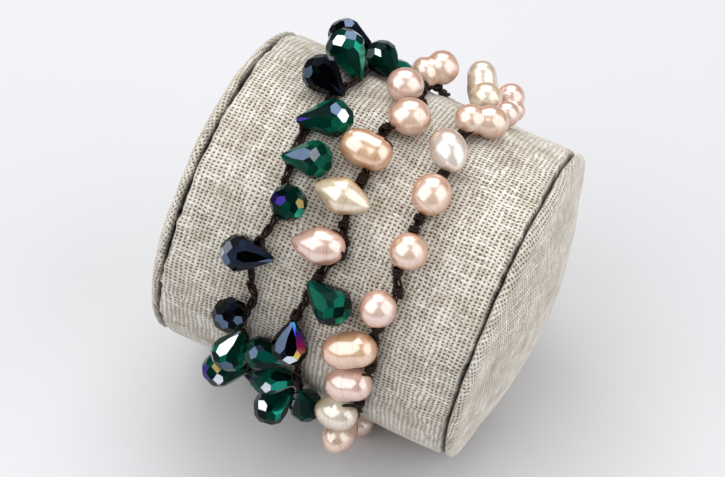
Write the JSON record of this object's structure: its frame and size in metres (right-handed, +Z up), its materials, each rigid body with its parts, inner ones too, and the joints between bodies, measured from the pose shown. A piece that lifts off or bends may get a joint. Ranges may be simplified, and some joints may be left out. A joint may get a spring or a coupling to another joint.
{
  "type": "pearl bracelet on a linen display roll",
  "caption": "Crocheted wrap bracelet of freshwater pearls and faceted crystal drops, wound in turns round a short linen-covered display roll that leans on its rim.",
  "frame": {"origin": "under the middle of the bounding box, on the surface the roll rests on", "axes": "+Z up; the roll's axis lies in the XZ plane, its right end at +X leaning down; -Y is the front, with the strands that show"},
  "size_m": [0.0736, 0.0762, 0.0744],
  "materials": {
    "linen": "natural plain-weave linen",
    "pearl": "pearl lustre",
    "crystal": "faceted, polished",
    "cord": "waxed crochet thread",
    "brass": "satin",
    "string_pearl": "pearl lustre on dark thread",
    "string_crystal": "faceted drops on dark thread"
  },
  "bodies": {
    "root": {"roll_side": "linen", "roll_end_left": "linen", "roll_end_right": "linen", "cord_front_1": "cord", "cord_front_2": "cord", "cord_front_3": "cord", "string_back_crystals": "string_crystal", "string_back_pearls": "string_pearl", "string_clasp_crystals": "string_crystal", "string_clasp_plain": "cord", "clasp_barrel": "brass", "pearl_2_01": "pearl", "pearl_2_02": "pearl", "pearl_2_03": "pearl", "pearl_2_04": "pearl", "pearl_2_05": "pearl", "pearl_2_06": "pearl", "pearl_3_01": "pearl", "pearl_3_02": "pearl", "pearl_3_03": "pearl", "pearl_3_04": "pearl", "pearl_3_05": "pearl", "pearl_3_06": "pearl", "pearl_3_07": "pearl", "pearl_3_08": "pearl", "pearl_3_09": "pearl", "pearl_3_10": "pearl", "pearl_3_11": "pearl", "pearl_3_12": "pearl", "pearl_3_13": "pearl", "crystal_1_01": "crystal", "crystal_1_02": "crystal", "crystal_1_03": "crystal", "crystal_1_04": "crystal", "crystal_1_05": "crystal", "crystal_1_06": "crystal", "crystal_1_07": "crystal", "crystal_1_08": "crystal", "crystal_1_09": "crystal", "crystal_1_10": "crystal", "crystal_1_11": "crystal", "crystal_2_07": "crystal", "crystal_2_08": "crystal", "crystal_2_09": "crystal", "crystal_2_10": "crystal", "crystal_2_11": "crystal", "crystal_2_12": "crystal"}
  },
  "joints": []
}
